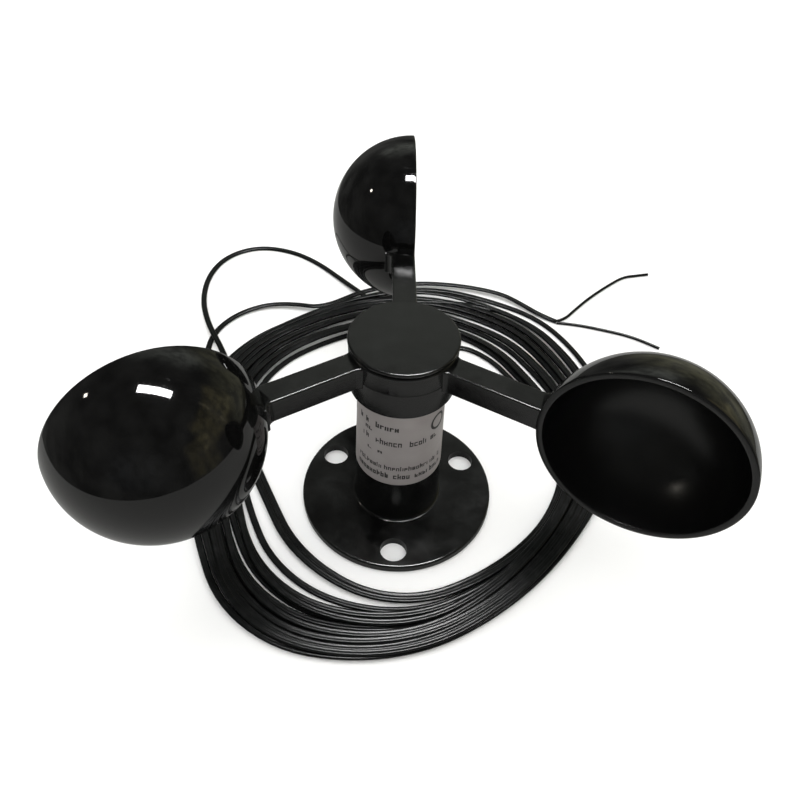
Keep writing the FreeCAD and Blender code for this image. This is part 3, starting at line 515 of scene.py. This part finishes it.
def coilPoint(turn, swept, phases):
    angle = coil["start"] - swept
    low, high = coil["advance"]
    ranks = coil["ranks"]
    moved = ease((swept - low) / (high - low))
    rank = ranks[turn] + (ranks[min(turn + 1, len(ranks) - 1)] - ranks[turn]) * moved
    onTop = 0.0
    if turn in riders:
        keys = riders[turn]
        for (a, rankA), (b, rankB) in zip(keys, keys[1:]):
            if a <= swept <= b:
                rank = rankA + (rankB - rankA) * ease((swept - a) / (b - a))
        starts, takes = coil["descend"]
        onTop = 1 - ease((swept - starts) / takes)
    elif turn + 1 in riders:
        starts, takes = coil["climb"]
        onTop = ease((swept - starts) / takes)
    gaps = gapsAt(angle, phases)
    place = min(int(rank), len(gaps) - 1)
    radius = ringRadius(coil["inside"], angle) + lead["width"] / 2
    radius += sum(gaps[:place]) + gaps[place] * (rank - place)
    tight = min(gaps[max(place - 1, 0)], gaps[min(place, len(gaps) - 2)])
    packed = ease((coil["tightGap"] - tight) / 0.6)
    odd = (1 - math.cos(math.pi * rank)) / 2
    height = lead["lying"] + lead["layer"] * (packed * odd * (1 - onTop) + onTop * (1 + packed))
    radius /= math.cos(math.radians(coil["step"] / 2))        # the spline runs inside its points
    return aroundCoil(radius, math.radians(angle), height)


def leadPoints():
    draw = random.Random(lead["seed"])
    phases = [(draw.uniform(0, math.tau), draw.uniform(0, math.tau)) for _ in coil["fanGaps"]]
    points = list(leadRoute)
    for turn in range(len(coil["ranks"])):
        swept = coil["step"] if turn in (0, bigLoopTurn + 1) else 0
        while swept < leaves.get(turn, 359):
            points.append(coilPoint(turn, swept, phases))
            swept += coil["step"]
        if turn == bigLoopTurn:
            points += bigLoopRoute
            joined = coilPoint(turn + 1, coil["step"], phases)
            far = math.hypot(joined[0] - coil["centre"][0], joined[1] - coil["centre"][1])
            for share in (0.36, 0.7):        # it slides back in on top of the others
                angle = math.radians(coil["joins"] + (coil["start"] - coil["step"] - coil["joins"]) * share)
                reach = coil["joinReach"] + (far - coil["joinReach"]) * ease(share)
                points.append(aroundCoil(reach, angle, 2.1 - 1.0 * ease(share - 0.2)))
    points += smallLoopRoute
    for angle in (104, 90, 77):        # the last stretch lies outside all the turns
        reach = ringRadius(coil["outside"], angle) - lead["width"] / 2 + coil["outer"]
        points.append(aroundCoil(reach, math.radians(angle), coil["passing"]))
    points += tailRoute
    return points


def routeCurve(name, points, resolution=6):
    data = bpy.data.curves.new(name, "CURVE")
    data.dimensions = "3D"
    data.resolution_u = resolution
    spline = data.splines.new("NURBS")
    spline.points.add(len(points) - 1)
    for point, place in zip(spline.points, points):
        point.co = [c * mm for c in place] + [1]
    spline.order_u = 3
    spline.use_endpoint_u = True
    curve = bpy.data.objects.new(name, data)
    bpy.context.scene.collection.objects.link(curve)
    return curve


def pointsAlong(curve):        # the points of the route's own spline, read from it with no bevel
    bpy.context.view_layer.update()
    seen = curve.evaluated_get(bpy.context.evaluated_depsgraph_get())
    mesh = bpy.data.meshes.new_from_object(seen)
    path = [v.co.copy() for v in mesh.vertices]
    bpy.data.meshes.remove(mesh)
    return path


def lengthOf(path):
    return sum((b - a).length for a, b in zip(path, path[1:]))


def leadSection():        # two round cores joined by a web, as points round the outline
    half = lead["thickness"] / 2
    out = lead["width"] / 2 - half
    right = [(out + half * math.cos(a), half * math.sin(a))
             for a in (math.radians(d) for d in (-120, -80, -40, 0, 40, 80, 120))]
    waist = half * lead["waist"]
    left = [(-x, -y) for x, y in right]
    return right + [(0, waist)] + left + [(0, -waist)]


def makeLead():
    curve = routeCurve("leadRoute", leadPoints())
    path = pointsAlong(curve)
    bpy.data.objects.remove(curve)
    section = leadSection()
    verts, faces = [], []
    count = len(section)
    travelled = 0.0
    for i, place in enumerate(path):
        along = (path[min(i + 1, len(path) - 1)] - path[max(i - 1, 0)]).normalized()
        side = along.cross(Vector((0, 0, 1))).normalized()
        up = side.cross(along)
        travelled += (place - path[max(i - 1, 0)]).length
        lean = noise.noise(Vector((travelled * lead["rollPace"], 0.5, lead["seed"])))
        lean *= math.radians(lead["roll"]) * ease(travelled / lead["settles"]) * 1.6
        side, up = side * math.cos(lean) + up * math.sin(lean), up * math.cos(lean) - side * math.sin(lean)
        verts += [place + (side * x + up * y) * mm for x, y in section]
        if i:
            a, b = (i - 1) * count, i * count
            faces += [(a + k, a + (k + 1) % count, b + (k + 1) % count, b + k) for k in range(count)]
    faces += [tuple(reversed(range(count))), tuple(range(len(verts) - count, len(verts)))]
    piece = meshPiece("lead", verts, faces, "base", leadPvc)
    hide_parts("lead_run", "lead_coil", "lead_big_loop", "lead_small_loop", "lead_tail")


def makeCore(name, node, route):
    curve = routeCurve(name, route, 12)
    length = lengthOf(pointsAlong(curve))
    curve.data.bevel_depth = lead["thickness"] / 2 * mm
    curve.data.bevel_resolution = 4
    curve.data.use_fill_caps = True
    curve.data.materials.append(leadPvc)
    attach(curve, "base")
    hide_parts(node)
    print("%s: %.3f m" % (name, length))


makeLead()
makeCore("upper_core_end", "core_upper", upperCoreRoute)
makeCore("lower_core_end", "core_lower", lowerCoreRoute)


# pieces that follow a rule are grown by node trees

def geometryTree(name, sockets):        # sockets: input name and what it starts as
    tree = bpy.data.node_groups.new(name, "GeometryNodeTree")
    for label, value in sockets.items():
        kind = "NodeSocketInt" if isinstance(value, int) else "NodeSocketFloat"
        tree.interface.new_socket(label, in_out="INPUT", socket_type=kind).default_value = value
    tree.interface.new_socket("Geometry", in_out="OUTPUT", socket_type="NodeSocketGeometry")
    return tree, addNode(tree, "NodeGroupInput").outputs


def endTree(tree, geometry, material):
    real = addNode(tree, "GeometryNodeRealizeInstances", {"Geometry": geometry})
    dressed = addNode(tree, "GeometryNodeSetMaterial", {"Geometry": real.outputs[0], "Material": material})
    addNode(tree, "NodeGroupOutput", {"Geometry": dressed.outputs[0]})


def grownMesh(name, tree, values):        # runs a tree once and gives its result as a plain mesh
    holder = bpy.data.objects.new(name, bpy.data.meshes.new(name + "Seed"))
    bpy.context.scene.collection.objects.link(holder)
    modifier = holder.modifiers.new(name, "NODES")
    modifier.node_group = tree
    for item in tree.interface.items_tree:
        if item.in_out == "INPUT" and item.name in values:
            modifier[item.identifier] = values[item.name]
    bpy.context.view_layer.update()
    mesh = bpy.data.meshes.new_from_object(holder.evaluated_get(bpy.context.evaluated_depsgraph_get()))
    bpy.data.objects.remove(holder)
    mesh.name = name
    return mesh


def rideMesh(name, mesh, body, slot, *nodes):
    piece = bpy.data.objects.new(name, mesh)
    bpy.context.scene.collection.objects.link(piece)
    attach(piece, body)
    if nodes:
        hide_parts(*nodes)
    return piece


cup = {
    "Radius": 27.6 * mm,
    "Wall": 1.8 * mm,
    "Lip": 0.4 * mm,          # how far the rounded rim bulges
    "Circle": 70.0 * mm,      # from the rotor's axis to the cup's centre
    "Setback": 4.3 * mm,      # the rim's plane lies this far behind the arm's middle
    "Level": 64.5 * mm,
    "Rings": 110,
    "Segments": 144,
}
firstArm = 93        # degrees from +X to the first arm
rimShare = (0.44, 0.56)        # the part of the profile, from pole to pole, that goes round the rim


def cupShellTree():        # a hemisphere that turns round its rim and comes back inside
    tree, given = geometryTree("cup shell", {**cup, "Azimuth": 0.0})

    def sums(operation, first, second=0.0, third=0.0):
        made = addNode(tree, "ShaderNodeMath", {0: first, 1: second, 2: third}, operation=operation)
        return made.outputs[0]

    def spread(value, low, high, most):
        return addNode(tree, "ShaderNodeMapRange", {"Value": value, "From Min": low, "From Max": high,
                       "To Max": most}).outputs[0]

    columns = sums("ADD", given["Segments"], 1.0)
    grid = addNode(tree, "GeometryNodeMeshGrid", {"Size X": 1.0, "Size Y": 1.0, "Vertices X": given["Rings"],
                   "Vertices Y": columns})
    flat = addNode(tree, "ShaderNodeSeparateXYZ", {0: addNode(tree, "GeometryNodeInputPosition").outputs[0]})
    along = sums("ADD", flat.outputs[0], 0.5)
    around = sums("MULTIPLY_ADD", flat.outputs[1], math.tau, math.pi)
    outer = spread(along, 0.0, rimShare[0], math.pi / 2)
    back = spread(along, rimShare[1], 1.0, math.pi / 2)
    rim = spread(along, rimShare[0], rimShare[1], math.pi)
    polar = sums("SUBTRACT", outer, back)
    wallShare = sums("MULTIPLY_ADD", sums("COSINE", rim), -0.5, 0.5)
    radius = sums("SUBTRACT", given["Radius"], sums("MULTIPLY", given["Wall"], wallShare))
    across = sums("MULTIPLY", radius, sums("SINE", polar))
    bulge = sums("MULTIPLY", given["Lip"], sums("SUBTRACT", 1.0, sums("SINE", rim)))
    height = sums("MULTIPLY_ADD", sums("SUBTRACT", radius, given["Lip"]), sums("COSINE", polar), bulge)
    place = addNode(tree, "ShaderNodeCombineXYZ", {0: sums("MULTIPLY", across, sums("COSINE", around)),
                    1: sums("MULTIPLY", across, sums("SINE", around)), 2: height})
    marked = addNode(tree, "GeometryNodeStoreNamedAttribute", {"Geometry": grid.outputs[0], "Name": "inside",
                     "Value": sums("GREATER_THAN", along, rimShare[0] + 0.02)})
    shell = addNode(tree, "GeometryNodeSetPosition", {"Geometry": marked.outputs[0],
                    "Position": place.outputs[0]})
    closed = addNode(tree, "GeometryNodeMergeByDistance", {"Geometry": shell.outputs[0],
                     "Distance": 0.001 * mm})
    smooth = addNode(tree, "GeometryNodeSetShadeSmooth", {"Geometry": closed.outputs[0]})
    behind = sums("MULTIPLY", given["Setback"], -1.0)
    stand = addNode(tree, "ShaderNodeCombineXYZ", {0: given["Circle"], 1: behind, 2: given["Level"]})
    upright = addNode(tree, "GeometryNodeTransform", {"Geometry": smooth.outputs[0],
                      "Translation": stand.outputs[0], "Rotation": (-math.pi / 2, 0, 0)})
    turn = addNode(tree, "ShaderNodeCombineXYZ", {2: sums("RADIANS", given["Azimuth"])})
    turned = addNode(tree, "GeometryNodeTransform", {"Geometry": upright.outputs[0],
                     "Rotation": turn.outputs[0]})
    endTree(tree, turned.outputs[0], glossyAbs)
    return tree


def makeCups():
    tree = cupShellTree()
    for i in range(3):
        name = "cup_%d" % (i + 1)
        mesh = grownMesh("cup_shell_%d" % (i + 1), tree, {"Azimuth": float(firstArm + 120 * i)})
        rideMesh("cup_shell_%d" % (i + 1), mesh, "rotor", "black_plastic", name)
    print("cups: 3 shells of", len(mesh.polygons), "faces")


# turned and moulded parts: the frame's own shapes, merged and given soft highlights

def smoothCopy(node, name, body, slot, material):
    source = frame["nodes"][node]
    shape = bmesh.new()
    shape.from_mesh(source.data)
    bmesh.ops.remove_doubles(shape, verts=shape.verts, dist=0.002 * mm)
    mesh = bpy.data.meshes.new(name)
    shape.to_mesh(mesh)
    shape.free()
    mesh.materials.clear()
    mesh.materials.append(material)
    mesh.shade_smooth()
    mesh.set_sharp_from_angle(angle=math.radians(38))
    piece = rideMesh(name, mesh, body, slot, node)
    weighted = piece.modifiers.new("even highlights", "WEIGHTED_NORMAL")
    weighted.keep_sharp = True
    return piece


def makeMouldings():
    mouldings = {
        "base_post": ("flange_and_post", "base", "black_plastic"),
        "bottom_cover": ("cover_plate", "base", "black_plastic"),
        "lead_grommet": ("strain_relief", "base", "soft_rubber"),
        "clamped_lead": ("lead_in_grommet", "base", "lead_sheath"),
        "post_label": ("label_film", "base", "label_foil"),
        "hub": ("hub_body", "rotor", "black_plastic"),
        "hub_cap": ("hub_lid", "rotor", "black_plastic"),
        "arm_1": ("arm_bar_1", "rotor", "black_plastic"),
        "arm_2": ("arm_bar_2", "rotor", "black_plastic"),
        "arm_3": ("arm_bar_3", "rotor", "black_plastic"),
    }
    for node, (name, body, slot) in mouldings.items():
        smoothCopy(node, name, body, slot, finishes[slot])
    print("mouldings:", len(mouldings))


# the label's print, greeked: rows of small marks that stand for words

post = {
    "Foot Radius": 14.1 * mm,
    "Foot Level": 3.0 * mm,
    "Taper": 1.2 / 55,        # the post narrows by this much for each unit of height
    "Film": 0.15 * mm,
}

# name, start and end in degrees, level of the foot of the marks, their height, pitch and boldness
printLines = [
    ("headlineStart", -150, -130, 45.6, 2.3, 1.35, 1.0),
    ("headline", -122, -81, 45.6, 2.3, 1.5, 1.0),
    ("shortLine", -139, -125, 43.0, 1.9, 1.5, 0.8),
    ("longLineStart", -143, -130, 39.2, 2.3, 1.35, 0.5),
    ("longLineMiddle", -121, -81, 39.2, 2.5, 1.4, 0.5),
    ("longLineEnd", -76, -29, 39.2, 2.4, 1.4, 0.5),
    ("smallLine", -134, -109, 34.9, 1.5, 1.9, 0.45),
    ("noteLine", -150, -22, 28.3, 2.0, 1.25, 0.5),
    ("lastLine", -152, -16, 24.4, 2.4, 1.35, 0.8),
    ("sideLine", 5, 80, 44.0, 1.8, 1.4, 0.6),
    ("sideNote", 5, 96, 39.0, 1.6, 1.2, 0.5),
]
mark = {"angle": -33, "level": 45.4, "radius": 2.7, "stroke": 0.85, "lift": 0.02}


def printTree():
    tree, given = geometryTree("printed line", {**post, "Start": 0.0, "End": 10.0, "Level": 30 * mm,
                               "Height": 2 * mm, "Pitch": 1.4 * mm, "Boldness": 0.5,
                               "Lift": mark["lift"] * mm, "Seed": 1})

    def sums(operation, first, second=0.0, third=0.0):
        made = addNode(tree, "ShaderNodeMath", {0: first, 1: second, 2: third}, operation=operation)
        return made.outputs[0]

    def draws(low, high, offset):
        seed = sums("ADD", given["Seed"], float(offset))
        return addNode(tree, "FunctionNodeRandomValue", {2: low, 3: high, "Seed": seed}).outputs[1]

    drop = sums("SUBTRACT", given["Level"], given["Foot Level"])
    radius = sums("SUBTRACT", given["Foot Radius"], sums("MULTIPLY", drop, given["Taper"]))
    sweep = sums("RADIANS", sums("SUBTRACT", given["End"], given["Start"]))
    count = sums("DIVIDE", sums("MULTIPLY", sweep, radius), given["Pitch"])
    step = addNode(tree, "ShaderNodeCombineXYZ", {0: given["Pitch"]})
    row = addNode(tree, "GeometryNodeMeshLine", {"Count": count, "Offset": step.outputs[0]})
    gap = sums("LESS_THAN", draws(0.0, 1.0, 1), 0.11)
    words = addNode(tree, "GeometryNodeDeleteGeometry", {"Geometry": row.outputs[0], "Selection": gap})
    brick = addNode(tree, "GeometryNodeMeshCube", {"Size": (1, 1, 1), "Vertices X": 3})
    footed = addNode(tree, "GeometryNodeTransform", {"Geometry": brick.outputs["Mesh"],
                     "Translation": (0.5, 0.5, 0.5)})
    stem = sums("MULTIPLY", given["Pitch"], sums("MULTIPLY_ADD", given["Boldness"], 0.16, 0.17))
    bar = sums("MULTIPLY", given["Height"], sums("MULTIPLY_ADD", given["Boldness"], 0.1, 0.13))
    span = sums("MULTIPLY", given["Pitch"], 0.8)
    low = sums("MULTIPLY", given["Height"], 0.7)
    risen = sums("GREATER_THAN", draws(0.0, 1.0, 3), 0.7)        # three letters in ten stand taller
    tall = sums("MULTIPLY", given["Height"], sums("MULTIPLY_ADD", risen, 0.3, 0.7))
    rise = sums("SUBTRACT", low, bar)
    strokes = [        # each letter: a stem, often a second one, and bars at its foot, middle and top
        (stem, tall, 0.0, 0.0, 1.0, 4),
        (stem, low, sums("SUBTRACT", span, stem), 0.0, 0.62, 5),
        (span, bar, 0.0, 0.0, 0.35, 6),
        (span, bar, 0.0, sums("MULTIPLY", rise, 0.5), 0.4, 7),
        (span, bar, 0.0, rise, 0.6, 8),
    ]
    marks = addNode(tree, "GeometryNodeJoinGeometry")
    for wide, high, right, up, share, offset in strokes:
        chosen = sums("LESS_THAN", draws(0.0, 1.0, offset), share)
        size = addNode(tree, "ShaderNodeCombineXYZ", {0: wide, 1: high, 2: given["Lift"]})
        shift = addNode(tree, "ShaderNodeCombineXYZ", {0: right, 1: up})
        moved = addNode(tree, "GeometryNodeSetPosition", {"Geometry": words.outputs[0],
                        "Offset": shift.outputs[0]})
        inked = addNode(tree, "GeometryNodeInstanceOnPoints", {"Points": moved.outputs[0],
                        "Selection": chosen,
                        "Instance": footed.outputs[0], "Scale": size.outputs[0]})
        tree.links.new(inked.outputs[0], marks.inputs[0])
    real = addNode(tree, "GeometryNodeRealizeInstances", {"Geometry": marks.outputs[0]})
    flat = addNode(tree, "ShaderNodeSeparateXYZ", {0: addNode(tree, "GeometryNodeInputPosition").outputs[0]})
    angle = sums("ADD", sums("RADIANS", given["Start"]), sums("DIVIDE", flat.outputs[0], radius))
    level = sums("ADD", given["Level"], flat.outputs[1])
    above = sums("SUBTRACT", level, given["Foot Level"])
    skin = sums("SUBTRACT", given["Foot Radius"], sums("MULTIPLY", above, given["Taper"]))
    reach = sums("ADD", sums("ADD", skin, given["Film"]), flat.outputs[2])
    place = addNode(tree, "ShaderNodeCombineXYZ", {0: sums("MULTIPLY", reach, sums("COSINE", angle)),
                    1: sums("MULTIPLY", reach, sums("SINE", angle)), 2: level})
    wrapped = addNode(tree, "GeometryNodeSetPosition", {"Geometry": real.outputs[0],
                      "Position": place.outputs[0]})
    endTree(tree, wrapped.outputs[0], ink)
    return tree


def filmRadius(level):
    return post["Foot Radius"] - (level - post["Foot Level"]) * post["Taper"] + post["Film"]


def makePrint():
    tree = printTree()
    whole = bmesh.new()
    for i, (name, start, end, level, height, pitch, boldness) in enumerate(printLines):
        mesh = grownMesh(name, tree, {"Start": float(start), "End": float(end), "Level": level * mm,
                         "Height": height * mm, "Pitch": pitch * mm, "Boldness": boldness,
                         "Seed": 11 + 7 * i})
        whole.from_mesh(mesh)
        bpy.data.meshes.remove(mesh)
    count = 48
    ring = []
    for i in range(count):        # a plain ring stands for the approval mark
        turned = math.tau * i / count
        corners = []
        for reach, lift in ((1, 0), (1, 1), (-1, 1), (-1, 0)):
            far = (mark["radius"] + reach * mark["stroke"] / 2) * mm
            level = mark["level"] * mm + far * math.sin(turned)
            skin = filmRadius(level)
            angle = math.radians(mark["angle"]) + far * math.cos(turned) / skin
            reachOut = skin + lift * mark["lift"] * mm
            corners.append(whole.verts.new((reachOut * math.cos(angle), reachOut * math.sin(angle), level)))
        ring.append(corners)
    for i in range(count):
        here, there = ring[i], ring[(i + 1) % count]
        for k in range(4):
            whole.faces.new((here[k], there[k], there[(k + 1) % 4], here[(k + 1) % 4]))
    bmesh.ops.recalc_face_normals(whole, faces=whole.faces)
    mesh = bpy.data.meshes.new("label_print")
    whole.to_mesh(mesh)
    whole.free()
    mesh.materials.clear()
    mesh.materials.append(ink)
    rideMesh("label_print", mesh, "base", "label_foil")
    print("label print:", len(mesh.polygons), "faces")


def dressInnerParts():        # every other CAD part keeps its shape and takes its real finish
    for part in frame["record"]["subparts"]:
        mesh = frame["nodes"][part["node"]].data
        mesh.materials.clear()
        mesh.materials.append(finishes[part["material_slot"]])


makeCups()
makeMouldings()
makePrint()
dressInnerParts()
